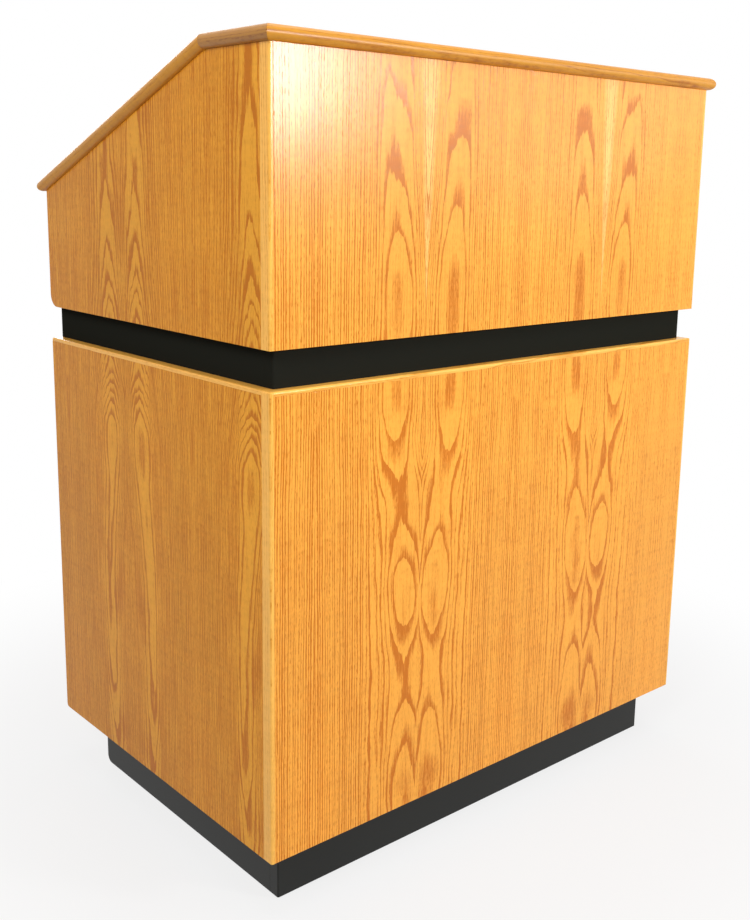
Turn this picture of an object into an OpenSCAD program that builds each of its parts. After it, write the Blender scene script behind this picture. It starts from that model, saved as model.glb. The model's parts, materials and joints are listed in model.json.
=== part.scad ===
// Host stand in the form of a lectern: an upper and a lower cabinet in oak veneer, a black band
// between them and a black plinth set back under them. The guest's side faces -y, the host's +y.
// The origin is on the floor, under the middle of the stand.

/* [Body] */
// Width over the front panels
body_w = 886; // [700:1:1200]
// Depth from the front panels to the rear edges of the sides
body_d = 610; // [480:1:800]
// Height of the lower cabinet
lower_h = 643; // [480:1:800]
// Height of the upper cabinet at its front
upper_h = 364; // [330:1:480]
// Thickness of the veneered panels
panel_t = 19; // [16:0.5:25]
// Thickness of the solid oak lippings
lipping_t = 6; // [4:0.5:9]
// Radius on the outer edges of the lippings
edge_r = 3; // [1:0.5:4]
// Radius on the lower rear corners of the upper sides
upper_corner_r = 20; // [5:1:40]
// Radius on the lower rear corners of the lower sides
lower_corner_r = 6; // [2:1:15]

/* [Top] */
// Depth of the level crown, from the front panel to the start of the slope
crown_d = 138; // [100:1:220]
// Angle of the reading slope
slope_angle = 21; // [12:1:24]
// Thickness of the top and its half-round moulding
top_t = 19; // [16:0.5:25]
// Width of the moulding
moulding_w = 20; // [18:0.5:28]
// How far the moulding stands out past the panels
overhang = 10; // [6:0.5:13]
// Section of the cleats that hold the top
cleat_w = 19; // [12:1:25]
// Length of the book stop
stop_l = 700; // [300:1:800]
// Thickness of the book stop
stop_t = 12; // [8:0.5:16]
// Height of the book stop over the slope
stop_h = 16; // [10:0.5:25]

/* [Band] */
// Height of the band
band_h = 51; // [30:1:80]
// Thickness of the band's boards
band_t = 19; // [12:0.5:25]
// How far the band is set back at the front and the sides
band_in = 16; // [8:0.5:18]
// How far the ends of its side boards are set back at the rear
band_end_in = 3; // [0:0.5:10]
// Side of the corner blocks in the band
band_block = 40; // [30:1:60]
// Radius of the bolts that join the cabinets
bolt_r = 4; // [3:0.5:5]

/* [Plinth] */
// Height of the plinth with its glides
plinth_h = 88; // [70:1:120]
// Thickness of the plinth's boards
plinth_t = 19; // [12:0.5:25]
// How far the plinth is set back at the front
plinth_front_in = 38; // [20:1:60]
// How far the plinth is set back at the sides
plinth_side_in = 37; // [20:1:60]
// How far the plinth is set back at the rear
plinth_rear_in = 72; // [20:1:90]
// Side of the corner blocks in the plinth
plinth_block = 60; // [50:1:80]
// Height of the corner blocks in the plinth
plinth_block_h = 45; // [30:1:50]
// Gap between the plinth and the floor
floor_gap = 3; // [2:0.5:6]
// Radius of the glides' feet
foot_r = 16; // [12:0.5:22]
// Height of the glides' feet
foot_h = 9; // [7:0.5:12]
// Radius of the glides' threaded stems
stem_r = 4.9; // [3.9:0.1:5.9]

/* [Doors] */
// Gap between a door and the carcass
door_gap = 2; // [1.6:0.1:3]
// Gap between the two doors
meeting_gap = 3; // [2.5:0.1:5]
// Distance from a door's end to the middle of its hinge
hinge_inset = 90; // [60:1:140]
// Height of a hinge
hinge_h = 64; // [50:1:80]
// Width of a hinge leaf
leaf_w = 15.5; // [12:0.5:18]
// Thickness of a hinge leaf
leaf_t = 1.5; // [1:0.1:1.7]
// Radius of a hinge's barrel
barrel_r = 3.5; // [3:0.1:4.5]
// Radius of a hinge's pin
pin_r = 1.95; // [1.5:0.05:2.2]
// Length of a pull between its posts
pull_l = 96; // [64:1:160]
// How far a pull stands out from its door
pull_out = 32; // [26:1:45]
// Radius of a pull's rod
rod_r = 4; // [3:0.5:5]
// Distance from the middle of the stand to a pull
pull_x = 34; // [26:1:60]
// Height of the pulls' middle over the middle of the doors
pull_rise = 130; // [0:1:150]

/* [Lock and bolt] */
// Radius of the lock's barrel
lock_r = 9.5; // [8:0.5:11]
// Radius of the lock's turning plug
plug_r = 6; // [4:0.5:6.5]
// Distance from the right door's upper end to the lock
lock_drop = 38; // [34:1:44]
// Length of the lock's cam from the plug's axis
cam_l = 34; // [28:1:36]
// Width of the cam
cam_w = 14; // [8:0.5:14]
// Radius of the bolt on the left door
rod_bolt_r = 3.5; // [2.5:0.5:4.5]
// Travel of the bolt
bolt_travel = 12; // [6:0.5:14]

/* [Shelf] */
// Height of the shelf's upper face over the lower deck
shelf_h = 300; // [200:1:330]
// Gap between the shelf and the sides
shelf_gap = 1.5; // [1:0.5:4]
// Distance from the rear edges of the sides to the shelf
shelf_in = 62; // [58:1:120]
// Distance from the front panel to the shelf
shelf_front_gap = 12; // [2:1:40]
// Radius of the shelf pins
shelf_pin_r = 2.5; // [2:0.5:3]
// Distance between the holes for the pins
hole_pitch = 32; // [20:1:40]
// Number of holes above and below the shelf's own
spare_holes = 3; // [0:1:4]

/* [Hidden] */
$fn = 64;

// Colours
oak = [0.85, 0.58, 0.29];
light_oak = [0.89, 0.70, 0.40];
black = [0.10, 0.10, 0.10];
raw_wood = [0.80, 0.69, 0.52];
steel = [0.66, 0.67, 0.69];

// Planes of the body
half_w = body_w / 2;
front_y = (overhang - body_d - pull_out) / 2;
rear_y = front_y + body_d;
inner_x = half_w - panel_t;
inner_y = front_y + panel_t;
lower_z = plinth_h;
deck_z = lower_z + panel_t;
lower_top_z = lower_z + lower_h;
ceiling_z = lower_top_z - panel_t;
upper_z = lower_top_z + band_h;
crown_z = upper_z + upper_h;

// How far a cut runs past the face that it starts from
overcut = 1;

// The slope starts at break_y. In its own frame y runs down it and z stands square to it.
break_y = front_y + crown_d;
slope_l = (body_d - crown_d) / cos(slope_angle);
mitre_run = top_t * tan(slope_angle / 2);
seat_w = moulding_w - overhang;
seat_x = half_w - seat_w;
seat_y = front_y + seat_w;
edge_x = half_w + overhang;
edge_y = front_y - overhang;
nose_r = top_t / 2;
stop_back = 2;
cleat_in = 12;
cleat_end_in = 40;

// Hinges: the pin's axis stands in the gap beside the door, outside the rear faces
knuckles = 5;
knuckle_gap = 0.3;
pin_clearance = 0.05;
barrel_proud = 0.5;
leaf_clearance = 0.25;
barrel_clearance = 0.4;
pin_head_r = 2.8;
pin_head_h = 1.5;
hinge_x = inner_x - door_gap / 2;
hinge_y = rear_y + barrel_r + barrel_proud;
knuckle_h = hinge_h / knuckles;

// Doors
door_z = deck_z + door_gap;
door_top_z = ceiling_z - door_gap;
door_inner_x = meeting_gap / 2;
door_outer_x = inner_x - door_gap;
door_face_in = rear_y - panel_t;
hinge_zs = [door_z + hinge_inset, door_top_z - hinge_inset];
pull_bend = 2 * rod_r;
pull_z = (door_z + door_top_z) / 2 + pull_rise;

// Catches, under the lower top panel
catch_x = 130;
catch_l = 46;
catch_h = 13;
catch_d = 14;
strike_l = 40;
strike_h = 12;
strike_t = 1.5;
strike_drop = 1;
touch_gap = 0.3;
catch_y = door_face_in - strike_t - touch_gap;

// Lock, in the right door. The cam turns up behind the keeper.
flange_w = 2.5;
flange_t = 2.5;
flange_r = lock_r + flange_w;
lock_clearance = 0.2;
plug_clearance = 0.1;
plug_proud = 0.5;
lock_inside = 8;
lock_nut_w = 3;
lock_nut_t = 3;
lock_nut_r = lock_r + lock_nut_w;
cam_t = 2.5;
cam_end_gap = 0.3;
keeper_w = 24;
keeper_t = 2;
keeper_drop = 18;
keeper_foot = 20;
keeper_gap = 0.8;
lock_x = pull_x;
lock_z = door_top_z - lock_drop;
lock_end_y = door_face_in - lock_inside;
cam_y = lock_end_y - cam_end_gap;
keeper_y = cam_y + keeper_gap;

// Bolt, on the inner face of the left door
guide_l = 64;
guide_w = 22;
guide_t = 2;
guide_end_in = 2;
ear_h = 9;
ear_w = 14;
ear_d = 13;
bolt_clearance = 0.1;
bolt_knob_r = 3;
bolt_knob_l = 12;
bolt_x = -pull_x;
bolt_y = door_face_in - guide_t - ear_d / 2;
guide_z = door_top_z - guide_end_in - guide_l;
bolt_hole_spare = 2;
bolt_hole_depth = bolt_travel + bolt_hole_spare;

// Shelf and its pins
shelf_seat_gap = 0.05;
pin_front_in = 70;
pin_rear_in = 50;
shelf_z = deck_z + shelf_h - panel_t;
pin_z = shelf_z - shelf_pin_r - shelf_seat_gap;
pin_hole_depth = 10;
pin_hole_clearance = 0.1;
pin_in_l = 9;
pin_out_l = 8;
pin_ys = [inner_y + pin_front_in, rear_y - shelf_in - pin_rear_in];

// Bolts through both cabinets and the band
bolt_hole_clearance = 0.3;
bolt_head_r = 2.4 * bolt_r;
bolt_head_h = 4;
washer_r = 2.5 * bolt_r;
washer_t = 1.6;
nut_sides = 6;
nut_r = 1.9 * bolt_r;
nut_h = 1.6 * bolt_r;
bolt_end_l = 4;
section_x = half_w - band_in - band_t - band_block / 2;
section_ys = [
    front_y + band_in + band_t + band_block / 2,
    rear_y - band_in - band_t - band_block / 2
];
nut_z = ceiling_z - washer_t - nut_h;
bolt_low_z = nut_z - bolt_end_l;
bolt_high_z = upper_z + panel_t;

// Plinth and its glides
plinth_edge_r = 2.5;
plinth_corner_r = 12;
stem_clearance = 0.1;
stem_top_gap = 4;
foot_lip = 4;
plinth_x = half_w - plinth_side_in;
plinth_y = front_y + plinth_front_in;
plinth_rear_y = rear_y - plinth_rear_in;
glide_x = plinth_x - plinth_t - plinth_block / 2;
glide_ys = [plinth_y + plinth_t + plinth_block / 2, plinth_rear_y - plinth_t - plinth_block / 2];

// A box between two corners
module block(low, high) {
    translate(low) cube(high - low);
}

// Prisms along the three axes. The outline is drawn in (y, z), (x, z) and (x, y).
module prism_x(from, to) {
    translate([from, 0, 0]) rotate([90, 0, 90]) linear_extrude(to - from) children();
}

module prism_y(from, to) {
    translate([0, to, 0]) rotate([90, 0, 0]) linear_extrude(to - from) children();
}

module prism_z(from, to) {
    translate([0, 0, from]) linear_extrude(to - from) children();
}

// The right-hand piece as drawn for side 1, and its mirror image for side -1
module on_side(side) {
    mirror([side < 0 ? 1 : 0, 0, 0]) children();
}

// Both the right-hand and the left-hand piece
module both_sides() {
    for (side = [-1, 1]) on_side(side) children();
}

// Everything on the reading slope is drawn in the slope's own frame
module on_slope() {
    translate([0, break_y, crown_z]) rotate([-slope_angle, 0, 0]) children();
}

// A rectangle with its far upper corner rounded
module eased(w, h, r) {
    square([w - r, h]);
    square([w, h - r]);
    translate([w - r, h - r]) circle(r);
}

// Takes a sharp corner at the origin off an outline that lies in the first quadrant
module corner_off(r) {
    difference() {
        translate([-overcut, -overcut]) square(r + overcut);
        translate([r, r]) circle(r);
    }
}

// A board whose two front corners are rounded, seen from above
module eased_front(x, y, depth, r) {
    translate([0, y + depth]) {
        mirror([0, 1]) eased(x, depth, r);
        rotate(180) eased(x, depth, r);
    }
}

// Half-round nose, from the joint with the panel outwards
module nose() {
    square([moulding_w - nose_r, top_t]);
    translate([moulding_w - nose_r, nose_r]) circle(nose_r);
}

// Plinth
module plinth_front() {
    color(black)
        prism_z(floor_gap, plinth_h) eased_front(plinth_x, plinth_y, plinth_t, plinth_edge_r);
}

module plinth_side(side) {
    color(black) on_side(side)
        prism_x(plinth_x - plinth_t, plinth_x)
            difference() {
                translate([plinth_y + plinth_t, floor_gap])
                    square([plinth_rear_y - plinth_y - plinth_t, plinth_h - floor_gap]);
                translate([plinth_rear_y, floor_gap]) mirror([1, 0]) corner_off(plinth_corner_r);
            }
}

module plinth_rear() {
    color(black)
        block([plinth_t - plinth_x, plinth_rear_y - plinth_t, floor_gap],
              [plinth_x - plinth_t, plinth_rear_y, plinth_h]);
}

module plinth_corner_blocks() {
    color(raw_wood) both_sides()
        for (y = glide_ys)
            translate([glide_x, y, plinth_h - plinth_block_h])
                difference() {
                    translate([-plinth_block / 2, -plinth_block / 2, 0])
                        cube([plinth_block, plinth_block, plinth_block_h]);
                    translate([0, 0, -overcut])
                        cylinder(h = plinth_block_h + 2 * overcut, r = stem_r + stem_clearance);
                }
}

module glide(side, y) {
    color(black) on_side(side) translate([glide_x, y, 0]) {
        cylinder(h = foot_lip, r = foot_r);
        translate([0, 0, foot_lip])
            cylinder(h = foot_h - foot_lip, r1 = foot_r, r2 = foot_r / 2);
        cylinder(h = plinth_h - stem_top_gap, r = stem_r);
    }
}

// Lower cabinet
module lower_deck() {
    color(oak)
        block([-inner_x, inner_y, lower_z], [inner_x, rear_y, deck_z]);
}

// Mortises for the leaves, sunk into the face that lies at x
module leaf_mortises(x, sunk) {
    for (z = hinge_zs)
        translate([x, rear_y - leaf_w, z - hinge_h / 2])
            cube([sunk, leaf_w + overcut, hinge_h]);
}

module lower_side(side) {
    color(oak) on_side(side)
        difference() {
            prism_x(inner_x, half_w)
                difference() {
                    translate([inner_y, lower_z])
                        square([rear_y - inner_y, lower_h - lipping_t]);
                    translate([rear_y, lower_z]) mirror([1, 0]) corner_off(lower_corner_r);
                }
            leaf_mortises(inner_x - overcut, overcut + leaf_clearance + leaf_t - door_gap / 2);
            for (y = pin_ys, step = [-spare_holes:spare_holes])
                translate([inner_x - overcut, y, pin_z + step * hole_pitch]) rotate([0, 90, 0])
                    cylinder(h = pin_hole_depth + overcut, r = shelf_pin_r + pin_hole_clearance);
        }
}

module lower_front_panel() {
    color(oak)
        block([lipping_t - half_w, front_y, lower_z],
              [half_w - lipping_t, inner_y, lower_top_z - lipping_t]);
}

// Solid oak down the corner, as thick as the front panel. Its top is eased as the ledge is.
module lower_corner_lipping(side) {
    color(light_oak) on_side(side)
        intersection() {
            prism_z(lower_z, lower_top_z) translate([half_w - lipping_t, inner_y]) mirror([0, 1])
                eased(lipping_t, panel_t, edge_r);
            prism_x(half_w - lipping_t, half_w) translate([inner_y, lower_z]) mirror([1, 0])
                eased(panel_t, lower_h, edge_r);
            prism_y(front_y, inner_y) translate([half_w - lipping_t, lower_z])
                eased(lipping_t, lower_h, edge_r);
        }
}

module lower_front_top_lipping() {
    color(light_oak)
        prism_x(lipping_t - half_w, half_w - lipping_t)
            translate([inner_y, lower_top_z - lipping_t]) mirror([1, 0])
                eased(panel_t, lipping_t, edge_r);
}

module lower_side_top_lipping(side) {
    color(light_oak) on_side(side)
        intersection() {
            prism_y(inner_y, rear_y) translate([inner_x, lower_top_z - lipping_t])
                eased(panel_t, lipping_t, edge_r);
            prism_x(inner_x, half_w) translate([inner_y, lower_top_z - lipping_t])
                eased(rear_y - inner_y, lipping_t, edge_r);
        }
}

module section_bolt_holes(from, to) {
    both_sides()
        for (y = section_ys)
            translate([section_x, y, from - overcut])
                cylinder(h = to - from + 2 * overcut, r = bolt_r + bolt_hole_clearance);
}

module lower_top_panel() {
    color(oak)
        difference() {
            block([-inner_x, inner_y, ceiling_z], [inner_x, rear_y, lower_top_z]);
            section_bolt_holes(ceiling_z, lower_top_z);
            translate([bolt_x, bolt_y, ceiling_z - overcut])
                cylinder(h = bolt_hole_depth + overcut, r = rod_bolt_r + 2 * bolt_clearance);
        }
}

module shelf() {
    color(oak)
        block([shelf_gap - inner_x, inner_y + shelf_front_gap, shelf_z],
              [inner_x - shelf_gap, rear_y - shelf_in, shelf_z + panel_t]);
}

module shelf_pins() {
    color(steel) both_sides()
        for (y = pin_ys)
            translate([inner_x - pin_out_l, y, pin_z]) rotate([0, 90, 0])
                cylinder(h = pin_out_l + pin_in_l, r = shelf_pin_r);
}

// Doors
module right_door() {
    color(oak)
        difference() {
            block([door_inner_x, door_face_in, door_z], [door_outer_x, rear_y, door_top_z]);
            leaf_mortises(hinge_x - leaf_clearance - leaf_t, 2 * door_gap);
            lock_disc(lock_r + lock_clearance, door_face_in - overcut, rear_y + overcut);
        }
}

module left_door() {
    color(oak) on_side(-1)
        difference() {
            block([door_inner_x, door_face_in, door_z], [door_outer_x, rear_y, door_top_z]);
            leaf_mortises(hinge_x - leaf_clearance - leaf_t, 2 * door_gap);
        }
}

// One leaf with its knuckles, drawn about the pin's axis and lying to the +x side of it
module leaf(first_knuckle) {
    difference() {
        union() {
            translate([leaf_clearance, rear_y - leaf_w - hinge_y, -hinge_h / 2])
                cube([leaf_t, leaf_w + hinge_y - rear_y - barrel_r - barrel_clearance, hinge_h]);
            for (step = [first_knuckle:2:knuckles - 1])
                translate([0, 0, step * knuckle_h + knuckle_gap / 2 - hinge_h / 2]) {
                    cylinder(h = knuckle_h - knuckle_gap, r = barrel_r);
                    translate([leaf_clearance, -barrel_r - 2 * barrel_clearance, 0])
                        cube([leaf_t, barrel_r + 2 * barrel_clearance, knuckle_h - knuckle_gap]);
                }
        }
        translate([0, 0, -hinge_h / 2 - overcut])
            cylinder(h = hinge_h + 2 * overcut, r = pin_r + pin_clearance);
    }
}

module hinge_frame_leaves() {
    color(steel) both_sides()
        for (z = hinge_zs) translate([hinge_x, hinge_y, z]) leaf(0);
}

module door_leaves(side) {
    color(steel) on_side(side)
        for (z = hinge_zs) translate([hinge_x, hinge_y, z]) mirror([1, 0, 0]) leaf(1);
}

module hinge_pins() {
    color(steel) both_sides()
        for (z = hinge_zs)
            translate([hinge_x, hinge_y, z]) {
                translate([0, 0, -hinge_h / 2]) cylinder(h = hinge_h, r = pin_r);
                for (end = [-1, 1])
                    translate([0, 0, end * (hinge_h + pin_head_h) / 2])
                        cylinder(h = pin_head_h, r = pin_head_r, center = true);
            }
}

// A bent rod: two posts, two quarter bends and the grip between them
module pull(side) {
    color(black) on_side(side)
        translate([pull_x, rear_y, pull_z])
            for (end = [0, 1])
                mirror([0, 0, end])
                    translate([0, 0, pull_l / 2]) {
                        rotate([-90, 0, 0]) cylinder(h = pull_out - rod_r - pull_bend, r = rod_r);
                        translate([0, pull_out - rod_r - pull_bend, -pull_bend])
                            rotate([0, -90, 0]) rotate_extrude(angle = 90)
                                translate([pull_bend, 0]) circle(rod_r);
                        translate([0, pull_out - rod_r, -pull_l / 2])
                            cylinder(h = pull_l / 2 - pull_bend, r = rod_r);
                    }
}

module catch_bodies() {
    color(black) both_sides()
        block([catch_x - catch_l / 2, catch_y - catch_d, ceiling_z - catch_h],
              [catch_x + catch_l / 2, catch_y, ceiling_z]);
}

module strike(side) {
    color(steel) on_side(side)
        block([catch_x - strike_l / 2, door_face_in - strike_t,
               door_top_z - strike_drop - strike_h],
              [catch_x + strike_l / 2, door_face_in, door_top_z - strike_drop]);
}

// A disc that is centred on the lock's axis and runs from one y to the other
module lock_disc(r, from, to) {
    translate([lock_x, to, lock_z]) rotate([90, 0, 0]) cylinder(h = to - from, r = r);
}

module lock_barrel() {
    color(steel)
        difference() {
            union() {
                lock_disc(lock_r, lock_end_y, rear_y + flange_t);
                lock_disc(flange_r, rear_y, rear_y + flange_t);
                lock_disc(lock_nut_r, door_face_in - lock_nut_t, door_face_in);
            }
            lock_disc(plug_r + plug_clearance, lock_end_y - overcut, rear_y + flange_t + overcut);
        }
}

// The plug with its keyway, and the cam on its inner end. It rests lying flat, unlocked.
module lock_cam() {
    key_w = 1.2;
    key_h = 6;
    key_depth = 10;
    color(steel) {
        difference() {
            lock_disc(plug_r, cam_y, rear_y + flange_t + plug_proud);
            translate([lock_x - key_w / 2, rear_y + flange_t + plug_proud - key_depth,
                       lock_z - key_h / 2])
                cube([key_w, key_depth + overcut, key_h]);
        }
        lock_disc(cam_w / 2, cam_y - cam_t, cam_y);
        block([lock_x, cam_y - cam_t, lock_z - cam_w / 2],
              [lock_x + cam_l, cam_y, lock_z + cam_w / 2]);
    }
}

// An angle under the lower top panel, with one leg hanging between the door and the cam
module lock_keeper() {
    color(steel) {
        block([lock_x - keeper_w / 2, keeper_y, ceiling_z - keeper_drop],
              [lock_x + keeper_w / 2, keeper_y + keeper_t, ceiling_z]);
        block([lock_x - keeper_w / 2, keeper_y - keeper_foot, ceiling_z - keeper_t],
              [lock_x + keeper_w / 2, keeper_y, ceiling_z]);
    }
}

// A plate with two ears on the inner face of the left door
module door_bolt_guides() {
    color(steel)
        difference() {
            union() {
                block([bolt_x - guide_w / 2, door_face_in - guide_t, guide_z],
                      [bolt_x + guide_w / 2, door_face_in, guide_z + guide_l]);
                for (z = [guide_z, guide_z + guide_l - ear_h])
                    block([bolt_x - ear_w / 2, door_face_in - guide_t - ear_d, z],
                          [bolt_x + ear_w / 2, door_face_in - guide_t, z + ear_h]);
            }
            translate([bolt_x, bolt_y, guide_z - overcut])
                cylinder(h = guide_l + 2 * overcut, r = rod_bolt_r + bolt_clearance);
        }
}

// The bolt rests with its knob on the lower ear
module door_bolt() {
    color(steel) {
        translate([bolt_x, bolt_y, guide_z]) cylinder(h = guide_l, r = rod_bolt_r);
        translate([bolt_x, bolt_y, guide_z + ear_h + bolt_knob_r + bolt_clearance])
            rotate([90, 0, 0]) cylinder(h = rod_bolt_r + bolt_knob_l, r = bolt_knob_r);
    }
}

// Band
module band_front() {
    color(black)
        prism_z(lower_top_z, upper_z)
            eased_front(half_w - band_in, front_y + band_in, band_t, plinth_edge_r);
}

module band_side(side) {
    color(black) on_side(side)
        block([half_w - band_in - band_t, front_y + band_in + band_t, lower_top_z],
              [half_w - band_in, rear_y - band_end_in, upper_z]);
}

module band_rear() {
    x = half_w - band_in - band_t;
    color(black)
        block([-x, rear_y - band_in - band_t, lower_top_z], [x, rear_y - band_in, upper_z]);
}

module band_corner_blocks() {
    color(raw_wood)
        difference() {
            both_sides()
                for (y = section_ys)
                    translate([section_x - band_block / 2, y - band_block / 2, lower_top_z])
                        cube([band_block, band_block, band_h]);
            section_bolt_holes(lower_top_z, upper_z);
        }
}

// Bolt, washer and nut, which hold the upper cabinet, the band and the lower cabinet together
module section_bolts() {
    color(steel) both_sides()
        for (y = section_ys)
            translate([section_x, y, 0]) {
                translate([0, 0, bolt_low_z]) cylinder(h = bolt_high_z - bolt_low_z, r = bolt_r);
                translate([0, 0, bolt_high_z])
                    cylinder(h = bolt_head_h, r1 = bolt_head_r, r2 = bolt_head_r / 2);
                for (ring = [[nut_z + nut_h, washer_t, washer_r, $fn],
                             [nut_z, nut_h, nut_r, nut_sides]])
                    translate([0, 0, ring[0]])
                        difference() {
                            cylinder(h = ring[1], r = ring[2], $fn = ring[3]);
                            translate([0, 0, -overcut])
                                cylinder(h = ring[1] + 2 * overcut, r = bolt_r + pin_clearance);
                        }
            }
}

// Upper cabinet
module upper_deck() {
    color(oak)
        difference() {
            block([-inner_x, inner_y, upper_z],
                  [inner_x, rear_y - upper_corner_r, upper_z + panel_t]);
            section_bolt_holes(upper_z, upper_z + panel_t);
        }
}

module upper_side(side) {
    rear_top_z = crown_z - (body_d - crown_d) * tan(slope_angle);
    color(oak) on_side(side)
        prism_x(inner_x, half_w)
            difference() {
                polygon([
                    [inner_y, upper_z], [rear_y, upper_z], [rear_y, rear_top_z],
                    [break_y, crown_z], [inner_y, crown_z]
                ]);
                translate([rear_y, upper_z]) mirror([1, 0]) corner_off(upper_corner_r);
            }
}

module upper_front_panel() {
    color(oak)
        block([lipping_t - half_w, front_y, upper_z], [half_w - lipping_t, inner_y, crown_z]);
}

module upper_corner_lipping(side) {
    color(light_oak) on_side(side)
        prism_z(upper_z, crown_z) translate([half_w - lipping_t, inner_y]) mirror([0, 1])
            eased(lipping_t, panel_t, edge_r);
}

module side_cleats() {
    color(raw_wood) on_slope() both_sides()
        block([inner_x - cleat_w, cleat_in, -cleat_w], [inner_x, slope_l - cleat_end_in, 0]);
}

// Top. The crown and the slope meet in a mitre that halves the angle between them.
module crown_outline() {
    polygon([
        [edge_y, crown_z], [break_y, crown_z],
        [break_y + mitre_run, crown_z + top_t], [edge_y, crown_z + top_t]
    ]);
}

module slope_outline() {
    polygon([
        [0, 0], [slope_l + overhang, 0], [slope_l + overhang, top_t], [-mitre_run, top_t]
    ]);
}

module crown_panel() {
    color(oak)
        intersection() {
            prism_x(-seat_x, seat_x) crown_outline();
            block([-seat_x, seat_y, crown_z], [seat_x, rear_y, crown_z + top_t]);
        }
}

module reading_panel() {
    color(oak) on_slope()
        intersection() {
            prism_x(-seat_x, seat_x) slope_outline();
            block([-seat_x, -top_t, 0], [seat_x, slope_l - seat_w, top_t]);
        }
}

// The outline of a straight length of moulding with a 45 degree mitre at each end
module mitred_length() {
    polygon([[-seat_x, 0], [seat_x, 0], [edge_x, moulding_w], [-edge_x, moulding_w]]);
}

module crown_front_moulding() {
    color(light_oak)
        intersection() {
            prism_x(-edge_x, edge_x) translate([seat_y, crown_z]) mirror([1, 0]) nose();
            prism_z(crown_z, crown_z + top_t)
                translate([0, seat_y]) mirror([0, 1]) mitred_length();
        }
}

module crown_side_moulding(side) {
    end = break_y + mitre_run;
    color(light_oak) on_side(side)
        intersection() {
            prism_y(edge_y, end) translate([seat_x, crown_z]) nose();
            prism_x(seat_x, edge_x) crown_outline();
            prism_z(crown_z, crown_z + top_t)
                polygon([[seat_x, seat_y], [edge_x, edge_y], [edge_x, end], [seat_x, end]]);
        }
}

module slope_side_moulding(side) {
    end = slope_l + overhang;
    color(light_oak) on_side(side) on_slope()
        intersection() {
            prism_y(-mitre_run, end) translate([seat_x, 0]) nose();
            prism_x(seat_x, edge_x) slope_outline();
            prism_z(0, top_t)
                polygon([
                    [seat_x, -mitre_run], [edge_x, -mitre_run],
                    [edge_x, end], [seat_x, slope_l - seat_w]
                ]);
        }
}

module slope_rear_moulding() {
    color(light_oak) on_slope()
        intersection() {
            prism_x(-edge_x, edge_x) translate([slope_l - seat_w, 0]) nose();
            prism_z(0, top_t) translate([0, slope_l - seat_w]) mitred_length();
        }
}

// Keeps papers on the slope
module book_stop() {
    color(light_oak) on_slope()
        prism_x(-stop_l / 2, stop_l / 2)
            translate([slope_l - seat_w - stop_back - stop_t / 2, top_t]) {
                eased(stop_t / 2, stop_h, edge_r);
                mirror([1, 0]) eased(stop_t / 2, stop_h, edge_r);
            }
}

plinth_front();
plinth_side(-1);  // plinth_left
plinth_side(1);  // plinth_right
plinth_rear();
plinth_corner_blocks();
glide(-1, glide_ys[0]);  // front_left_glide
glide(1, glide_ys[0]);  // front_right_glide
glide(-1, glide_ys[1]);  // rear_left_glide
glide(1, glide_ys[1]);  // rear_right_glide
lower_deck();
lower_side(-1);  // lower_left_side
lower_side(1);  // lower_right_side
lower_front_panel();
lower_corner_lipping(-1);  // lower_left_corner_lipping
lower_corner_lipping(1);  // lower_right_corner_lipping
lower_front_top_lipping();
lower_side_top_lipping(-1);  // lower_left_top_lipping
lower_side_top_lipping(1);  // lower_right_top_lipping
lower_top_panel();
shelf();
shelf_pins();
left_door();
right_door();
hinge_frame_leaves();
hinge_pins();
door_leaves(-1);  // left_door_leaves
door_leaves(1);  // right_door_leaves
pull(-1);  // left_pull
pull(1);  // right_pull
catch_bodies();
strike(-1);  // left_strike
strike(1);  // right_strike
lock_barrel();
lock_cam();
lock_keeper();
door_bolt_guides();
door_bolt();
band_front();
band_side(-1);  // band_left
band_side(1);  // band_right
band_rear();
band_corner_blocks();
section_bolts();
upper_deck();
upper_side(-1);  // upper_left_side
upper_side(1);  // upper_right_side
upper_front_panel();
upper_corner_lipping(-1);  // upper_left_corner_lipping
upper_corner_lipping(1);  // upper_right_corner_lipping
side_cleats();
crown_panel();
reading_panel();
crown_front_moulding();
crown_side_moulding(-1);  // crown_left_moulding
crown_side_moulding(1);  // crown_right_moulding
slope_side_moulding(-1);  // slope_left_moulding
slope_side_moulding(1);  // slope_right_moulding
slope_rear_moulding();
book_stop();
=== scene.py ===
"""The looks of the host stand: book-matched oak veneer with solid oak lippings and mouldings,
black boards, plated hardware, and a plain pale studio. Lengths are in metres, in the CAD's frame,
but for the grain of the oak, which is in millimetres.
"""

import json
import math

import bmesh
import bpy
from mathutils import Matrix, Vector

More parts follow.
